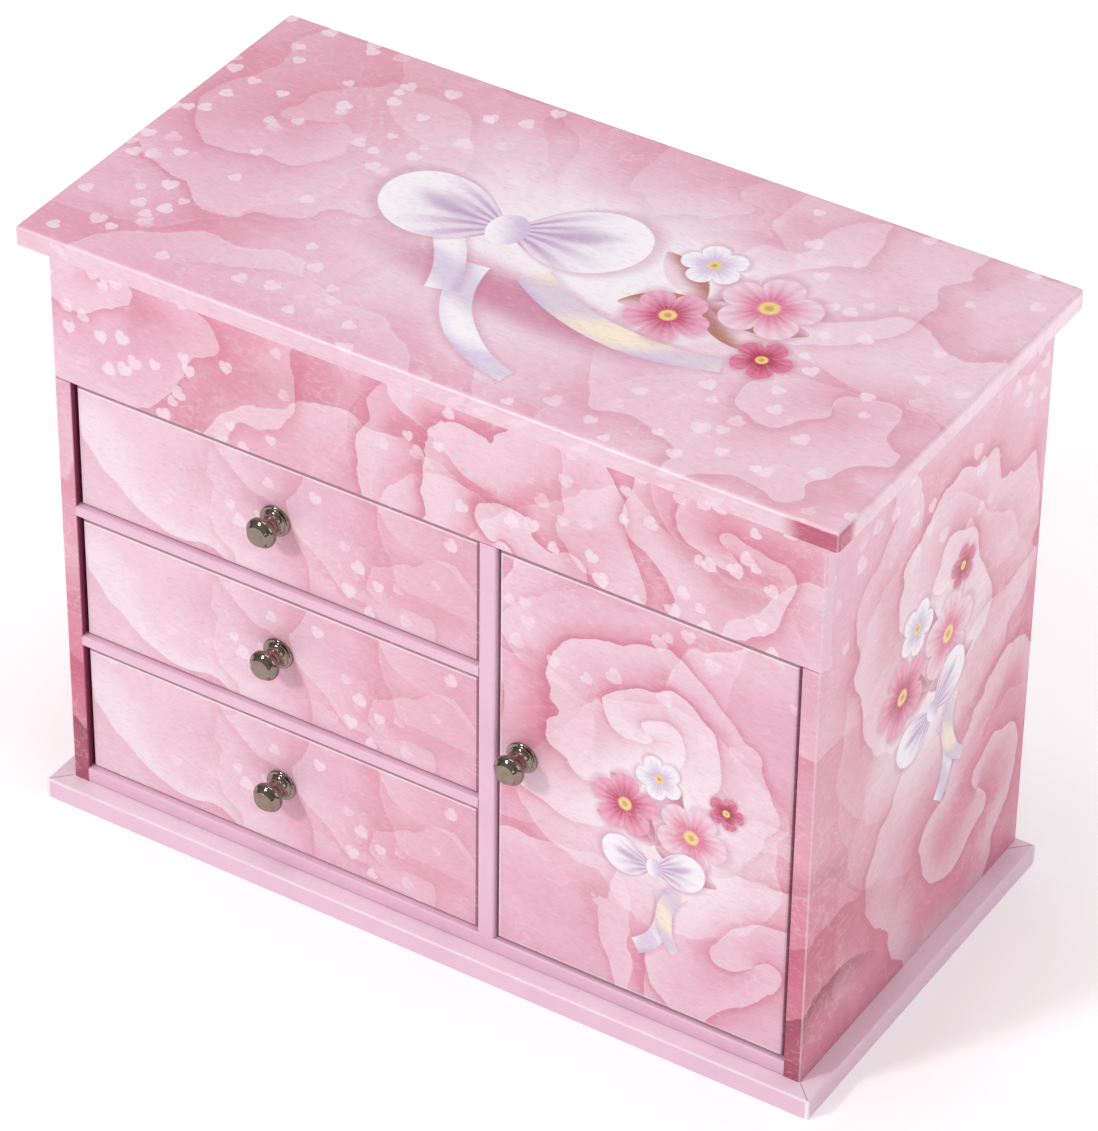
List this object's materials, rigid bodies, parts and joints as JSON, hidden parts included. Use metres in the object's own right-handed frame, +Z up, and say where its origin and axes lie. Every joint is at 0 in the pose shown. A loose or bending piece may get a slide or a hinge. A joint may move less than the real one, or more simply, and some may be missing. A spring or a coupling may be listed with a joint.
{
  "type": "musical jewellery box",
  "caption": "Musical jewellery chest with a mirrored lift-up lid, side-by-side drawers and cupboard, a winding key and a turning dancer in the tray.",
  "frame": {"origin": "middle of the base board underside, under the middle of the chest body", "axes": "+X to the right seen from the front, front towards -Y, +Z up"},
  "size_m": [0.2948, 0.1728, 0.2282],
  "materials": {
    "printed_paper": "satin printed paper over fibreboard",
    "plain_paper": "satin pink paper over fibreboard",
    "velvet": "pink velvet",
    "nickel": "polished nickel plate",
    "hinge_brass": "satin brass",
    "steel": "plain steel",
    "cast_zinc": "die cast zinc",
    "mirror_glass": "silvered glass",
    "dancer_plastic": "painted moulded plastic",
    "skirt_net": "pink net"
  },
  "bodies": {
    "carcass": {"base_board": "plain_paper", "left_side_panel": "printed_paper", "right_side_panel": "printed_paper", "front_fascia": "printed_paper", "back_panel": "printed_paper", "floor_panel": "plain_paper", "partition_panel": "plain_paper", "upper_drawer_shelf": "plain_paper", "lower_drawer_shelf": "plain_paper", "tray_floor": "plain_paper", "tray_lining": "velvet", "tray_dividers": "velvet", "ring_cushion_rolls": "velvet", "hinge_back_leaves": "hinge_brass", "door_pivot_pins": "steel", "necklace_rail": "plain_paper", "necklace_hooks": "hinge_brass", "movement_bed": "cast_zinc", "music_comb": "steel", "movement_cover": "plain_paper", "tray_bushes": "hinge_brass"},
    "lid": {"lid_board": "printed_paper", "lid_mirror": "mirror_glass", "mirror_frame": "plain_paper", "hinge_lid_leaves": "hinge_brass", "hinge_pins": "hinge_brass"},
    "door": {"door_panel": "printed_paper", "door_knob": "nickel"},
    "winding_key": {"winding_arbor": "steel", "winding_key": "steel"},
    "spring_barrel": {"barrel_drum": "hinge_brass", "barrel_cap": "hinge_brass", "mainspring": "steel"},
    "music_cylinder": {"music_cylinder": "hinge_brass", "cylinder_arbor": "steel"},
    "governor_wheel": {"governor_wheel": "steel"},
    "governor_fly": {"governor_fly": "steel"},
    "dancer": {"dancer_spindle": "steel", "turntable": "dancer_plastic", "dancer_figure": "dancer_plastic", "dancer_skirt": "skirt_net"},
    "lid_stop": {"lid_stop_rod": "steel"},
    "upper_drawer": {"upper_drawer_front": "printed_paper", "upper_drawer_walls": "plain_paper", "upper_drawer_bottom": "plain_paper", "upper_drawer_lining": "velvet", "upper_drawer_knob": "nickel"},
    "middle_drawer": {"middle_drawer_front": "printed_paper", "middle_drawer_walls": "plain_paper", "middle_drawer_bottom": "plain_paper", "middle_drawer_lining": "velvet", "middle_drawer_knob": "nickel"},
    "lower_drawer": {"lower_drawer_front": "printed_paper", "lower_drawer_walls": "plain_paper", "lower_drawer_bottom": "plain_paper", "lower_drawer_lining": "velvet", "lower_drawer_knob": "nickel"}
  },
  "joints": [
    {"name": "lid_hinge", "type": "hinge", "parent": "carcass", "child": "lid", "pos_m": [0, 0.0724, 0.2197], "axis": [-1, 0, 0], "range_deg": [0, 95]},
    {"name": "upper_drawer_slide", "type": "slide", "parent": "carcass", "child": "upper_drawer", "axis": [0, -1, 0], "range_m": [0, 0.09]},
    {"name": "middle_drawer_slide", "type": "slide", "parent": "carcass", "child": "middle_drawer", "axis": [0, -1, 0], "range_m": [0, 0.09]},
    {"name": "lower_drawer_slide", "type": "slide", "parent": "carcass", "child": "lower_drawer", "axis": [0, -1, 0], "range_m": [0, 0.09]},
    {"name": "door_hinge", "type": "hinge", "parent": "carcass", "child": "door", "pos_m": [0.1299, -0.0664, 0.09], "axis": [0, 0, 1], "range_deg": [0, 95]},
    {"name": "key_turn", "type": "hinge", "parent": "carcass", "child": "winding_key", "pos_m": [0.072, 0.075, 0.153], "axis": [0, 1, 0], "continuous": true},
    {"name": "barrel_turn", "type": "hinge", "parent": "carcass", "child": "spring_barrel", "pos_m": [0.072, 0.056, 0.153], "axis": [0, 1, 0], "continuous": true},
    {"name": "cylinder_turn", "type": "hinge", "parent": "carcass", "child": "music_cylinder", "pos_m": [0.1, 0.04777, 0.153], "axis": [1, 0, 0], "continuous": true},
    {"name": "governor_turn", "type": "hinge", "parent": "carcass", "child": "governor_wheel", "pos_m": [0.11, 0.03777, 0.153], "axis": [1, 0, 0], "continuous": true},
    {"name": "fly_turn", "type": "hinge", "parent": "carcass", "child": "governor_fly", "pos_m": [0.11, 0.03777, 0.145], "axis": [1, 0, 0], "continuous": true},
    {"name": "dancer_turn", "type": "hinge", "parent": "carcass", "child": "dancer", "pos_m": [0.072, 0.04777, 0.18], "axis": [0, 0, 1], "continuous": true},
    {"name": "stop_slide", "type": "slide", "parent": "carcass", "child": "lid_stop", "axis": [0, 0, 1], "range_m": [0, 0.0042]}
  ],
  "couplings": [
    {"joint": "cylinder_turn", "follows": "barrel_turn", "ratio": -3},
    {"joint": "governor_turn", "follows": "barrel_turn", "ratio": 12},
    {"joint": "fly_turn", "follows": "barrel_turn", "ratio": -36},
    {"joint": "dancer_turn", "follows": "barrel_turn", "ratio": -3},
    {"joint": "stop_slide", "follows": "lid_hinge", "m_per_rad": 0.0024}
  ]
}
